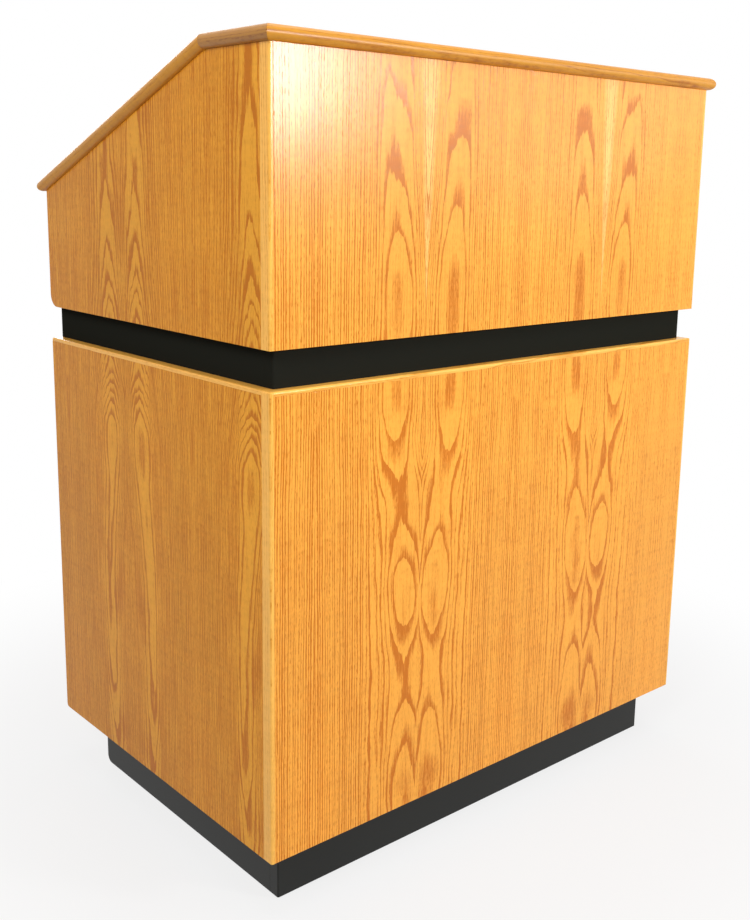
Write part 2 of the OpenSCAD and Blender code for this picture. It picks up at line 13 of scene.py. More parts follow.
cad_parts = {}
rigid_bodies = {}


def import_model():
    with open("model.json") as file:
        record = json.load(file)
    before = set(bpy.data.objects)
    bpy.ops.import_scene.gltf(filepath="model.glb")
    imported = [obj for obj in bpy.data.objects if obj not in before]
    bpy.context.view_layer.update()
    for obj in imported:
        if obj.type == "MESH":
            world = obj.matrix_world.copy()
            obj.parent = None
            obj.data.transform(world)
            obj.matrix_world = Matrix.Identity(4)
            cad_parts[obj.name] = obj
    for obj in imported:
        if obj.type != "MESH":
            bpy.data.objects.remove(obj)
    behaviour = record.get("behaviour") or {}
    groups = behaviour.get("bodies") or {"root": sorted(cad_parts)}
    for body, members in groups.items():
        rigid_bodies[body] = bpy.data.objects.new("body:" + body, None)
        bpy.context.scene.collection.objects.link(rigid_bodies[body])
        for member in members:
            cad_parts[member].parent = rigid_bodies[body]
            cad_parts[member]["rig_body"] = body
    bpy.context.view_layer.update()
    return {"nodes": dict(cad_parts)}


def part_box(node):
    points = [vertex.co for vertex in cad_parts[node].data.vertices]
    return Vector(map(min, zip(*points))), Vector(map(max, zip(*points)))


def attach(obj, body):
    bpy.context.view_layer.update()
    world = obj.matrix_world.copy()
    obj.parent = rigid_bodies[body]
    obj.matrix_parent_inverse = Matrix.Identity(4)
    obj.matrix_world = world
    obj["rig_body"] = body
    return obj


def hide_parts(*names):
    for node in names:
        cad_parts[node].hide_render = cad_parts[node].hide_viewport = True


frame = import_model()

MM_PER_M = 1000.0
X = Vector((1, 0, 0))
Y = Vector((0, 1, 0))
Z = Vector((0, 0, 1))

# The slope of the reading panel, and the directions down it and out of it
SLOPE_ANGLE = math.radians(21)
DOWN_SLOPE = Vector((0, math.cos(SLOPE_ANGLE), -math.sin(SLOPE_ANGLE)))
OFF_SLOPE = Vector((0, math.sin(SLOPE_ANGLE), math.cos(SLOPE_ANGLE)))

# Veneer is laid in leaves of one width, each the mirror image of the one before. All that follows
# on the grain is in millimetres. The tree's heart runs MIDDLE_IN from a seam, give or take.
LEAF_W = 188.0
MIDDLE_IN = 50.0

# Each leaf is shifted at random along and across the grain, and the heart's depth swings a little
# from leaf to leaf by a turn in radians
LEAF_SLIP = 22.0
LEAF_SHIFT = 8.0
LEAF_SWING = 4.5
LEAF_TURN = 1.85
FIRST_TURN = 5.54
SLIP_SEED = 3.0
SHIFT_SEED = 8.0

# Rings lie closer the further they are from the heart, by a power of the distance, and at an even
# width from some distance on. Beyond the heart's flank they lie closer still.
RING_REACH = 40.0
RINGS_CLOSE_UP = 2.0
RINGS_EVEN_FROM = 72.0
EVEN_RING = 7.6
FLANK_FROM = 25.0
FLANK_CLOSER = 0.8

# The depth of the heart where the cut is calm
CALM_DEPTH = 30.0

# How uneven the grain is. Each kind has its strength, its width across and length along the
# grain, how many finer layers it has, and a number that sets it apart from the others.
UNEVEN = {
    "wander": (20.0, 90.0, 330.0, 1.0, 1.0),
    "waver": (7.0, 26.0, 90.0, 1.0, 2.0),
    "jitter": (2.4, 14.0, 45.0, 1.0, 3.5),
    "swell": (6.5, 40.0, 110.0, 1.0, 5.0),
    "ripple": (4.0, 7.0, 60.0, 2.0, 4.0),
    "ring widths": (1.0, 17.0, 1.0, 3.0, 9.0),
    "patch": (1.5, 26.0, 80.0, 0.0, 14.0),
    "pore": (1.0, 1.2, 9.0, 1.0, 6.0),
    "streak": (1.0, 2.6, 110.0, 2.0, 7.0),
    "fibre": (1.0, 2.4, 42.0, 2.0, 15.0),
    "ray": (0.9, 60.0, 14.0, 2.0, 11.0),
    "shade": (1.4, 120.0, 500.0, 1.0, 12.0),
    "fleck": (0.7, 15.0, 6.0, 1.0, 13.0),
}
NOISE_ROUGHNESS = 0.55

# Values that change with the distance from the seam or from the heart: where the change starts
# and ends, and the value before it and after it. Where the last one is missing, the cut gives it.
HEART_SHARE = (62.0, 105.0, 1.0, 0.14)
PULL_SHARE = (0.0, 48.0, 1.0, 0.0)
CALM_SHARE = (50.0, 95.0, 1.0)
WIDTHS_DIFFER = (40.0, 80.0, 1.0, 2.8)
PATCH_SHARE = (30.0, 60.0, 1.0, 0.1)
SOFT_SHARE = (25.0, 60.0, 0.55, 0.60)
STRENGTHS_DIFFER = (25.0, 60.0, 0.6, 1.3)
LINE_SHARE = (5.0, 60.0, 1.2)
DASH_SHARE = (12.0, 55.0, 0.3, 1.0)
DENSE_SHARE = (8.0, 34.0, -0.35, 1.0)

# The dark part of a ring starts sharply and fades out softly, in shares of the ring's width
SHARP_SIDE = (0.0, 0.07, 0.0, 1.0)
FADE_STARTS = 0.05
LEAST_SOFT = 0.3
RING_STRENGTH = 0.8
STRENGTH_SEED = 5.0

# How much of the noise shows as pores and as fibres, and how dark they and the lines are
PORE_SHARE = (0.0, 0.12, 0.0, 1.0)
FIBRE_SHARE = (-0.12, 0.12, -0.35, 0.35)
PLAIN_LINE = 1.05
DASHED_LINE = -0.4
PORES_IN_LINE = 0.7
PORES_BETWEEN = 0.18

# The pale wedge of sapwood along a seam is as wide as the cut's pull is below WEDGE_PULL
WEDGE_PULL = -0.5
LEAST_WEDGE = 0.01
WEDGE_FADE = (0.4, 1.05, 1.0, 0.0)
WEDGE_PALER = -0.2
SAPWOOD_SHARE = 0.65

# How a set of leaves is cut from the tree. Places along the grain are shares of STAND_H, and
# distances are shares of REACH. deep is how far the heart runs behind the face: rings close as
# arches that point up where it goes deeper with height, and as ovals where it comes nearest.
# inward is its distance from the seam. pull draws the rings beside a seam aside, 0.5 being none.
# ring is the width of a ring near the heart, roundness how round the rings are, and outer how
# strong the ones far from the heart show, which falls by fading over each metre across. contrast
# is that of all the grain. Far from the heart a calm of 1 leaves its depth as it is and 0 evens
# it out, and dense darkens the close lines there.
STAND_H = 1170.0
REACH = 90.0
FRONT_CUT = {
    "deep": (
        (0.00, 0.13), (0.085, 0.155), (0.111, 0.20), (0.184, 0.33), (0.248, 0.43), (0.303, 0.33),
        (0.359, 0.21), (0.414, 0.33), (0.479, 0.42), (0.534, 0.33), (0.57, 0.22), (0.603, 0.13),
        (0.655, 0.20), (0.709, 0.11), (0.75, 0.19), (0.80, 0.31), (0.865, 0.44), (1.00, 0.62),
    ),
    "inward": (
        (0.00, 0.22), (0.11, 0.24), (0.20, 0.26), (0.34, 0.33), (0.47, 0.43), (0.58, 0.59),
        (0.70, 0.55), (0.83, 0.56), (1.00, 0.50),
    ),
    "pull": (
        (0.00, 0.50), (0.14, 0.50), (0.28, 0.50), (0.42, 0.50), (0.48, 0.56), (0.54, 0.50),
        (0.61, 0.50), (0.68, 0.50), (0.84, 0.38), (1.00, 0.26),
    ),
    "ring": 11.0, "roundness": 1.9, "outer": 0.66, "contrast": 1.65, "fading": 1.5, "calm": 0.1,
    "dense": 0.0,
}
SIDE_CUT = {
    "deep": (
        (0.00, 0.47), (0.11, 0.40), (0.23, 0.278), (0.345, 0.25), (0.45, 0.22), (0.515, 0.16),
        (0.545, 0.26), (0.572, 0.398), (0.619, 0.60), (0.683, 0.69), (0.73, 0.78),
        (0.80, 0.87), (0.86, 0.925), (0.93, 0.965), (1.00, 0.98),
    ),
    "inward": (
        (0.00, 0.60), (0.11, 0.62), (0.25, 0.72), (0.34, 0.74), (0.46, 0.55), (0.60, 0.46),
        (1.00, 0.50),
    ),
    "pull": ((0.00, 0.50), (1.00, 0.50)),
    "ring": 7.0, "roundness": 1.5, "outer": 0.62, "contrast": 1.9, "fading": 0.0, "calm": 1.0,
    "dense": 0.14,
}
PLAIN_CUT = {
    "deep": ((0.00, 0.30), (0.50, 0.55), (1.00, 0.90)),
    "inward": ((0.00, 0.45), (1.00, 0.50)),
    "pull": ((0.00, 0.50), (1.00, 0.50)),
    "ring": 7.0, "roundness": 1.7, "outer": 0.6, "contrast": 0.9, "fading": 0.0, "calm": 1.0,
    "dense": 0.0,
}
NO_PULL = 0.5

# Colours of each oak: the smooth late wood, and the porous early wood of a ring
VENEER = ((0.94, 0.405, 0.05, 1), (0.58, 0.16, 0.003, 1))
# A darker copy of the veneer's colours for the sides: painted shade
SHADED_SIDE_OAK = ((0.84, 0.37, 0.032, 1), (0.55, 0.165, 0.005, 1))
SOLID = ((0.97, 0.50, 0.09, 1), (0.70, 0.27, 0.02, 1))
MOULDING = ((0.60, 0.26, 0.02, 1), (0.38, 0.12, 0.006, 1))
# A darker copy of the moulding's colours for the crown's side mouldings: painted shade
SHADED_CROWN_SIDE = ((0.44, 0.19, 0.022, 1), (0.27, 0.09, 0.006, 1))
PINE = ((0.72, 0.55, 0.33, 1), (0.55, 0.36, 0.17, 1))
SAPWOOD = (0.97, 0.63, 0.20, 1)
FIGURE_CONTRAST = 0.16

# Colours of the other finishes
BAND_BLACK = (0.016, 0.0165, 0.013, 1)
PLINTH_BLACK = (0.0145, 0.015, 0.0133, 1)
POWDER_BLACK = (0.015, 0.015, 0.016, 1)
NYLON_BLACK = (0.02, 0.02, 0.02, 1)
ZINC = (0.62, 0.62, 0.60, 1)

# Reliefs: the sunk pores under the lacquer, and the fine orange peel of a sprayed coat
PORE_RELIEF = 0.25
PORE_DEPTH = 0.0002
PAINT_PEEL = 0.0012
POWDER_PEEL = 0.0006
PEEL_RELIEF = 0.15
PEEL_FLATNESS = 4


class Bench:
    """Lays shader nodes and joins them, so that a finish reads as a formula."""

    def __init__(self, tree):
        self.tree = tree

    def add(self, kind, **settings):
        node = self.tree.nodes.new(kind)
        for name, value in settings.items():
            setattr(node, name, value)
        return node

    def feed(self, socket, term):
        """Joins an output to a socket, or sets the socket to a plain value."""
        if isinstance(term, bpy.types.NodeSocket):
            self.tree.links.new(term, socket)
        else:
            socket.default_value = term

    def feed_all(self, sockets, terms):
        for socket, term in zip(sockets, terms):
            self.feed(socket, term)

    def math(self, operation, *terms):
        node = self.add("ShaderNodeMath", operation=operation)
        self.feed_all(node.inputs, terms)
        return node.outputs[0]

    def spot(self, *parts):
        node = self.add("ShaderNodeCombineXYZ")
        self.feed_all(node.inputs, parts)
        return node.outputs[0]

    def uneven(self, kind, across, along, level=0.0):
        """A level with one kind of the grain's unevenness added to it."""
        strength, width, length, layers, seed = UNEVEN[kind]
        node = self.add("ShaderNodeTexNoise")
        place = self.spot(
            self.math("DIVIDE", across, width), self.math("DIVIDE", along, length), seed
        )
        self.feed(node.inputs["Vector"], place)
        node.inputs["Scale"].default_value = 1.0
        node.inputs["Detail"].default_value = layers
        node.inputs["Roughness"].default_value = NOISE_ROUGHNESS
        round_zero = self.math("SUBTRACT", node.outputs[0], 0.5)
        return self.math("MULTIPLY_ADD", round_zero, strength, level)

    def luck(self, number, seed):
        """A value round zero that differs from one whole number to the next."""
        node = self.add("ShaderNodeTexWhiteNoise", noise_dimensions="2D")
        self.feed(node.inputs["Vector"], self.spot(number, seed))
        return self.math("SUBTRACT", node.outputs[0], 0.5)

    def ramp(self, value, start, end, low, high):
        """low up to the start, high from the end on, and a soft change between them."""
        node = self.add("ShaderNodeMapRange", interpolation_type="SMOOTHSTEP")
        self.feed_all(node.inputs, (value, start, end, low, high))
        return node.outputs[0]

    def blend(self, share, first, second):
        node = self.add("ShaderNodeMix", data_type="RGBA")
        node.clamp_factor = True
        self.feed(node.inputs[0], share)
        self.feed(node.inputs[6], first)
        self.feed(node.inputs[7], second)
        return node.outputs[2]

    def curve(self, value, points):
        node = self.add("ShaderNodeFloatCurve")
        curve = node.mapping.curves[0]
        while len(curve.points) < len(points):
            curve.points.new(0.5, 0.5)
        for point, place in zip(curve.points, points):
            point.location = place
        node.mapping.update()
        self.feed(node.inputs["Value"], value)
        return node.outputs[0]

    def measure(self, direction, start):
        """Millimetres along a direction of the frame, from a start in metres."""
        place = self.add("ShaderNodeTexCoord")
        node = self.add("ShaderNodeVectorMath", operation="DOT_PRODUCT")
        self.feed(node.inputs[0], place.outputs["Object"])
        self.feed(node.inputs[1], direction)
        return self.math("MULTIPLY_ADD", node.outputs["Value"], MM_PER_M, -start * MM_PER_M)

    def relief(self, shader, height, strength, distance):
        node = self.add("ShaderNodeBump")
        node.inputs["Strength"].default_value = strength
        node.inputs["Distance"].default_value = distance
        self.feed(node.inputs["Height"], height)
        self.feed(shader.inputs["Normal"], node.outputs[0])


def new_material(name):
    """A material with its shader, and the bench to work on it."""
    material = bpy.data.materials.new(name)
    material.use_nodes = True
    bench = Bench(material.node_tree)
    return material, bench, material.node_tree.nodes["Principled BSDF"]


def heart_distances(bench, given, leaf, across, along):
    """How far a point lies from the tree's heart: sideways, and in all. Far out the rings run
    straight, whatever the heart does."""
    wander = bench.uneven("wander", across, along)
    wander = bench.uneven("waver", across, along, wander)
    shift = bench.math("MULTIPLY_ADD", bench.luck(leaf, SHIFT_SEED), LEAF_SHIFT, given["Inward"])
    shift = bench.math("SUBTRACT", bench.math("SUBTRACT", shift, MIDDLE_IN), wander)
    seam_pull = bench.math("MULTIPLY", bench.ramp(across, *PULL_SHARE), given["Pull"])
    near_heart = bench.ramp(across, *HEART_SHARE)
    shift = bench.math("SUBTRACT", bench.math("MULTIPLY", shift, near_heart), seam_pull)
    sideways = bench.math("SUBTRACT", bench.math("SUBTRACT", across, MIDDLE_IN), shift)
    sideways = bench.math("ABSOLUTE", bench.uneven("jitter", across, along, sideways))

    swing = bench.math("COSINE", bench.math("MULTIPLY_ADD", leaf, LEAF_TURN, FIRST_TURN))
    depth = bench.math("MULTIPLY_ADD", swing, LEAF_SWING, given["Deep"])
    depth = bench.uneven("swell", across, along, depth)
    depth = bench.uneven("ripple", across, along, depth)
    calm = bench.ramp(across, *CALM_SHARE, given["Calm"])
    depth = bench.math("SUBTRACT", depth, CALM_DEPTH)
    depth = bench.math("ABSOLUTE", bench.math("MULTIPLY_ADD", depth, calm, CALM_DEPTH))

    beyond = bench.math("MAXIMUM", bench.math("SUBTRACT", sideways, FLANK_FROM), 0.0)
    flank = bench.math("MULTIPLY_ADD", beyond, FLANK_CLOSER, sideways)
    roundness = given["Roundness"]
    radius = bench.math(
        "ADD", bench.math("POWER", flank, roundness), bench.math("POWER", depth, roundness)
    )
    return sideways, bench.math("POWER", radius, bench.math("DIVIDE", 1.0, roundness))


def ring_count(bench, given, radius):
    """How many rings lie between the heart and a radius. No two are as wide."""
    inner = bench.math("MINIMUM", radius, RINGS_EVEN_FROM)
    rings = bench.math("POWER", bench.math("DIVIDE", inner, RING_REACH), RINGS_CLOSE_UP)
    rings = bench.math("MULTIPLY", rings, RING_REACH / RINGS_CLOSE_UP)
    rings = bench.math("DIVIDE", rings, given["Ring"])
    outer = bench.math("SUBTRACT", radius, inner)
    rings = bench.math("MULTIPLY_ADD", outer, 1.0 / EVEN_RING, rings)
    differ = bench.ramp(radius, *WIDTHS_DIFFER)
    return bench.math("MULTIPLY_ADD", bench.uneven("ring widths", radius, 0.0), differ, rings)


def ring_lines(bench, given, across, along, sideways, rings):
    """The early wood's share of the colour. No two rings are as dark."""
    part = bench.math("FRACT", rings)
    patch = bench.uneven("patch", across, along)
    patch = bench.math("MULTIPLY", patch, bench.ramp(sideways, *PATCH_SHARE))
    soft_side = bench.math("ADD", patch, bench.ramp(sideways, *SOFT_SHARE))
    soft_side = bench.math("MAXIMUM", soft_side, LEAST_SOFT)
    line = bench.math(
        "MULTIPLY", bench.ramp(part, FADE_STARTS, soft_side, 1.0, 0.0), bench.ramp(part, *SHARP_SIDE)
    )
    strength = bench.luck(bench.math("FLOOR", rings), STRENGTH_SEED)
    strength = bench.math("MULTIPLY", strength, bench.ramp(sideways, *STRENGTHS_DIFFER))
    strength = bench.math("ADD", strength, RING_STRENGTH)
    quiet = bench.ramp(sideways, *LINE_SHARE, given["Outer"])
    return bench.math("MULTIPLY", bench.math("MULTIPLY", line, strength), quiet)


def growth_rings():
    """Oak as a cut through a tree's nested rings, one leaf beside its mirror image.

    Across and Along are millimetres from a seam between leaves and up the grain, and the other
    inputs say how the leaves are cut, as FRONT_CUT does. Dark is the early wood and its pores,
    Figure the broad lights and shades, Pore the open pores alone, and Sapwood the pale wedges.
    """
    tree = bpy.data.node_groups.new("growth rings", "ShaderNodeTree")
    for name in (
        "Across", "Along", "Deep", "Inward", "Pull", "Ring", "Roundness", "Outer", "Calm", "Dense",
    ):
        tree.interface.new_socket(name, in_out="INPUT", socket_type="NodeSocketFloat")
    for name in ("Dark", "Figure", "Pore", "Sapwood"):
        tree.interface.new_socket(name, in_out="OUTPUT", socket_type="NodeSocketFloat")
    bench = Bench(tree)
    given = bench.add("NodeGroupInput").outputs
    made = bench.add("NodeGroupOutput").inputs

    leaf = bench.math("FLOOR", bench.math("DIVIDE", given["Across"], LEAF_W))
    across = bench.math("PINGPONG", given["Across"], LEAF_W)
    along = bench.math("MULTIPLY_ADD", bench.luck(leaf, SLIP_SEED), LEAF_SLIP, given["Along"])
    sideways, radius = heart_distances(bench, given, leaf, across, along)
    rings = ring_count(bench, given, radius)
    lines = ring_lines(bench, given, across, along, sideways, rings)

    # Pores are short dashes along the grain, crowded in the early wood
    pore = bench.ramp(bench.uneven("pore", across, along), *PORE_SHARE)
    dashed = bench.ramp(sideways, *DASH_SHARE)
    drawn = bench.math("MULTIPLY_ADD", dashed, DASHED_LINE, PLAIN_LINE)
    drawn = bench.math("MULTIPLY_ADD", bench.math("MULTIPLY", pore, PORES_IN_LINE), dashed, drawn)
    fibre = bench.ramp(bench.uneven("fibre", across, along), *FIBRE_SHARE)
    drawn = bench.math("ADD", drawn, fibre)
    dark = bench.math("MULTIPLY_ADD", lines, drawn, bench.uneven("streak", across, along))
    dark = bench.math("MULTIPLY_ADD", pore, PORES_BETWEEN, dark)
    dense = bench.math("MULTIPLY", bench.ramp(sideways, *DENSE_SHARE), given["Dense"])
    dark = bench.math("ADD", dark, dense)

    # The sapwood's wedges along the seams
    wedge = bench.math("SUBTRACT", WEDGE_PULL, given["Pull"])
    wedge = bench.math("MAXIMUM", wedge, LEAST_WEDGE)
    pale_seam = bench.ramp(bench.math("DIVIDE", across, wedge), *WEDGE_FADE)
    dark = bench.math("MULTIPLY", dark, bench.math("MULTIPLY_ADD", pale_seam, WEDGE_PALER, 1.0))

    # Flecks that lie across the grain, and broad lights and shades
    figure = bench.uneven("ray", across, along)
    figure = bench.uneven("shade", across, along, figure)
    figure = bench.uneven("fleck", across, along, figure)
    bench.feed(made["Dark"], dark)
    bench.feed(made["Figure"], figure)
    bench.feed(made["Pore"], bench.math("MULTIPLY", pore, lines))
    bench.feed(made["Sapwood"], bench.math("MULTIPLY", pale_seam, SAPWOOD_SHARE))
    return tree


RINGS = growth_rings()


def oak(name, across, along, seam, cut, colours, roughness=0.23, gloss=0.28):
    """Satin lacquered oak with its grain along a direction of the frame.

    seam is where, across the grain, one leaf of veneer meets the next.
    """
    pale, dark = colours
    material, bench, shader = new_material(name)
    length = bench.measure(along, 0.0)
    height = bench.math("DIVIDE", length, STAND_H)
    width = bench.measure(across, seam)
    rings = bench.add("ShaderNodeGroup", node_tree=RINGS)
    bench.feed(rings.inputs["Across"], width)
    bench.feed(rings.inputs["Along"], length)
    for course, middle in (("Deep", 0.0), ("Inward", 0.0), ("Pull", NO_PULL)):
        share = bench.math("SUBTRACT", bench.curve(height, cut[course.lower()]), middle)
        bench.feed(rings.inputs[course], bench.math("MULTIPLY", share, REACH))
    for trait in ("Ring", "Roundness", "Calm", "Dense"):
        rings.inputs[trait].default_value = cut[trait.lower()]
    outer = bench.math("MULTIPLY_ADD", width, -cut["fading"] / MM_PER_M, cut["outer"])
    bench.feed(rings.inputs["Outer"], outer)
    share = bench.math("MULTIPLY", rings.outputs["Dark"], cut["contrast"])
    colour = bench.blend(share, bench.blend(rings.outputs["Sapwood"], pale, SAPWOOD), dark)
    tone = bench.add("ShaderNodeVectorMath", operation="SCALE")
    bench.feed(tone.inputs[0], colour)
    light = bench.math("MULTIPLY_ADD", rings.outputs["Figure"], FIGURE_CONTRAST, 1.0)
    bench.feed(tone.inputs["Scale"], light)
    bench.feed(shader.inputs["Base Color"], tone.outputs[0])
    surface = bench.math("SUBTRACT", 1.0, rings.outputs["Pore"])
    bench.relief(shader, surface, PORE_RELIEF, PORE_DEPTH)
    shader.inputs["Roughness"].default_value = roughness
    shader.inputs["Specular IOR Level"].default_value = gloss
    return material


def plain(name, colour, roughness, metallic=0.0, peel_size=0.0, gloss=0.5):
    """One colour all over, with a fine orange-peel relief where a size is given."""
    material, bench, shader = new_material(name)
    shader.inputs["Base Color"].default_value = colour
    shader.inputs["Roughness"].default_value = roughness
    shader.inputs["Metallic"].default_value = metallic
    shader.inputs["Specular IOR Level"].default_value = gloss
    if peel_size:
        place = bench.add("ShaderNodeTexCoord")
        peel = bench.add("ShaderNodeTexNoise")
        peel.inputs["Scale"].default_value = 1 / peel_size
        bench.feed(peel.inputs["Vector"], place.outputs["Object"])
        bench.relief(shader, peel.outputs[0], PEEL_RELIEF, peel_size / PEEL_FLATNESS)
    return material


# Where leaves meet, in metres. A board's across runs through its thickness too, so that its edges
# have lines along them, and its seam is counted from the face that shows.
FRONT_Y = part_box("upper_front_panel")[0].y
LEFT_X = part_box("upper_left_side")[0].x
DOOR_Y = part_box("right_door")[1].y
FRONT_SEAM = 0.191
LEFT_SEAM = FRONT_Y + 0.372 + LEFT_X
RIGHT_SEAM = LEFT_SEAM + 0.09
BOARD_SEAM = 0.05
CROWN_SEAM = 1.18
SLOPE_SEAM = 1.1
UPRIGHT_SEAM = 0.11
CROSS_SEAM = 0.09
SIDE_LENGTH_SEAM = 0.07
PINE_SEAM = 0.03
DULL = 0.1
MOULDED = 0.34

front_veneer = oak("front veneer", X, Z, FRONT_SEAM, FRONT_CUT, VENEER)
# The side veneers take the darker copy of the veneer's colours, which is painted shade
left_veneer = oak("left side veneer", Y + X, Z, LEFT_SEAM, SIDE_CUT, SHADED_SIDE_OAK, gloss=DULL)
right_veneer = oak("right side veneer", Y - X, Z, RIGHT_SEAM, SIDE_CUT, SHADED_SIDE_OAK, gloss=DULL)
door_veneer = oak("door veneer", X + Y, Z, DOOR_Y, FRONT_CUT, VENEER)
board_veneer = oak("board veneer", Y + Z, X, BOARD_SEAM, PLAIN_CUT, VENEER)
crown_veneer = oak("crown veneer", Y + Z, X, CROWN_SEAM, PLAIN_CUT, VENEER)
slope_veneer = oak("slope veneer", DOWN_SLOPE + OFF_SLOPE, X, SLOPE_SEAM, PLAIN_CUT, VENEER)
upright_oak = oak("upright lipping oak", X + Y, Z, UPRIGHT_SEAM, PLAIN_CUT, SOLID)
cross_oak = oak("cross lipping oak", Y + Z, X, CROSS_SEAM, PLAIN_CUT, SOLID)
ledge_oak = oak("side lipping oak", X + Z, Y, SIDE_LENGTH_SEAM, PLAIN_CUT, SOLID)
cross_moulding = oak(
    "cross moulding oak", Y + Z, X, CROSS_SEAM, PLAIN_CUT, MOULDING, roughness=MOULDED, gloss=0.3
)
# The crown's side mouldings take the darker copy of the moulding's colours, which is painted shade
crown_moulding = oak(
    "crown moulding oak", X + Z, Y, SIDE_LENGTH_SEAM, PLAIN_CUT, SHADED_CROWN_SIDE, roughness=MOULDED,
    gloss=0.4,
)
slope_moulding = oak(
    "slope moulding oak", X + OFF_SLOPE, DOWN_SLOPE, SIDE_LENGTH_SEAM, PLAIN_CUT, MOULDING,
    roughness=MOULDED, gloss=0.3,
)
pine = oak("raw pine", Y, Z, PINE_SEAM, PLAIN_CUT, PINE)
band_paint = plain("band paint", BAND_BLACK, roughness=0.5, peel_size=PAINT_PEEL, gloss=0.0)
plinth_paint = plain("plinth paint", PLINTH_BLACK, roughness=0.42, peel_size=PAINT_PEEL, gloss=0.2)
# Black powder coat on the pulls, and painted shade on the floors of the screws' cross recesses
black_powder_and_recess_shade = plain("black powder coat and painted recess shade", POWDER_BLACK, roughness=0.5, peel_size=POWDER_PEEL)
black_nylon = plain("black nylon", NYLON_BLACK, roughness=0.45)
zinc = plain("zinc plate", ZINC, roughness=0.28, metallic=1.0)

GLIDES = ("front_left_glide", "front_right_glide", "rear_left_glide", "rear_right_glide")

# Each finish with the pieces that have it and how much their corners are eased
ARRIS = 0.0004
METAL_ARRIS = 0.0001
FINISHES = (
    (front_veneer, ARRIS, ("upper_front_panel", "lower_front_panel")),
    (left_veneer, ARRIS, ("upper_left_side", "lower_left_side")),
    (right_veneer, ARRIS, ("upper_right_side", "lower_right_side")),
    (door_veneer, ARRIS, ("left_door", "right_door")),
    (board_veneer, ARRIS, ("lower_deck", "lower_top_panel", "upper_deck", "shelf")),
    (crown_veneer, ARRIS, ("crown_panel",)),
    (slope_veneer, ARRIS, ("reading_panel",)),
    (upright_oak, ARRIS, (
        "lower_left_corner_lipping", "lower_right_corner_lipping",
        "upper_left_corner_lipping", "upper_right_corner_lipping",
    )),
    (cross_oak, ARRIS, ("lower_front_top_lipping", "book_stop")),
    (ledge_oak, ARRIS, ("lower_left_top_lipping", "lower_right_top_lipping")),
    (cross_moulding, ARRIS, ("crown_front_moulding", "slope_rear_moulding")),
    (crown_moulding, ARRIS, ("crown_left_moulding", "crown_right_moulding")),
    (slope_moulding, ARRIS, ("slope_left_moulding", "slope_right_moulding")),
    (pine, ARRIS, ("plinth_corner_blocks", "band_corner_blocks", "side_cleats")),
    (band_paint, ARRIS, ("band_front", "band_left", "band_right", "band_rear")),
    (plinth_paint, ARRIS, ("plinth_front", "plinth_left", "plinth_right", "plinth_rear")),
    (black_powder_and_recess_shade, 0.0, ("left_pull", "right_pull")),
    (black_nylon, ARRIS, ("catch_bodies",)),
    (black_nylon, METAL_ARRIS, GLIDES),
    (zinc, METAL_ARRIS, (
        "shelf_pins", "hinge_frame_leaves", "hinge_pins", "left_door_leaves", "right_door_leaves",
        "left_strike", "right_strike", "lock_barrel", "lock_cam", "lock_keeper",
        "door_bolt_guides", "door_bolt", "section_bolts",
    )),
)

WELD = 0.000002
FLAT = math.radians(0.5)
CORNER = math.radians(30)
ROUND = math.radians(35)


def show(shape, name, material, body):
    """Turns a finished shape into a piece that moves with its body."""
    mesh = bpy.data.meshes.new(name)
    shape.to_mesh(mesh)
    shape.free()
    mesh.materials.append(material)
    mesh.shade_smooth()
    mesh.set_sharp_from_angle(angle=ROUND)
    piece = bpy.data.objects.new(name, mesh)
    bpy.context.scene.collection.objects.link(piece)
    even = piece.modifiers.new("even shading", "WEIGHTED_NORMAL")
    even.keep_sharp = True
    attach(piece, body)
    return piece


def dress(node, material, arris):
    """Shows a CAD piece with its corners eased and its finish on it."""
    shape = bmesh.new()
    shape.from_mesh(frame["nodes"][node].data)
    bmesh.ops.remove_doubles(shape, verts=shape.verts, dist=WELD)
    bmesh.ops.dissolve_limit(
        shape, angle_limit=FLAT, use_dissolve_boundaries=False, verts=shape.verts, edges=shape.edges
    )
    if arris:
        corners = [e for e in shape.edges if e.is_manifold and e.calc_face_angle() > CORNER]
        bmesh.ops.bevel(
            shape, geom=corners, offset=arris, offset_type="OFFSET", segments=2, profile=0.5,
            affect="EDGES", clamp_overlap=True, material=-1,
        )
    piece = show(shape, node + "_piece", material, frame["nodes"][node]["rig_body"])
    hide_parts(node)
    return piece


GLIDE_FOOT_H = 0.009


def plate_stem(glide):
    """Gives a glide a plated stem over its nylon foot."""
    glide.data.materials.append(zinc)
    foot_top = min(corner.co.z for corner in glide.data.vertices) + GLIDE_FOOT_H
    for face in glide.data.polygons:
        if face.center.z > foot_top:
            face.material_index = 1


for finish, arris, nodes in FINISHES:
    for node in nodes:
        piece = dress(node, finish, arris)
        if node in GLIDES:
            plate_stem(piece)

# Screws have round heads with a cross recess. DOME is how much narrower a head is at its top, and
# the recess is SUNK into its height. A head on a thin leaf lies flush but for a hair, since the
# hinges and strikes close to under half a millimetre, and other heads stand out by PAN.
# The floor of each cross recess is painted black, which is painted shade in the recess.
SIDES_OF_HEAD = 24
CROSS_ARM = 0.56
CROSS_HALF = 0.14
DOME = 0.82
SUNK = 0.85
FLUSH = 0.00012
PAN = 0.0011
TURN_BETWEEN = 0.65


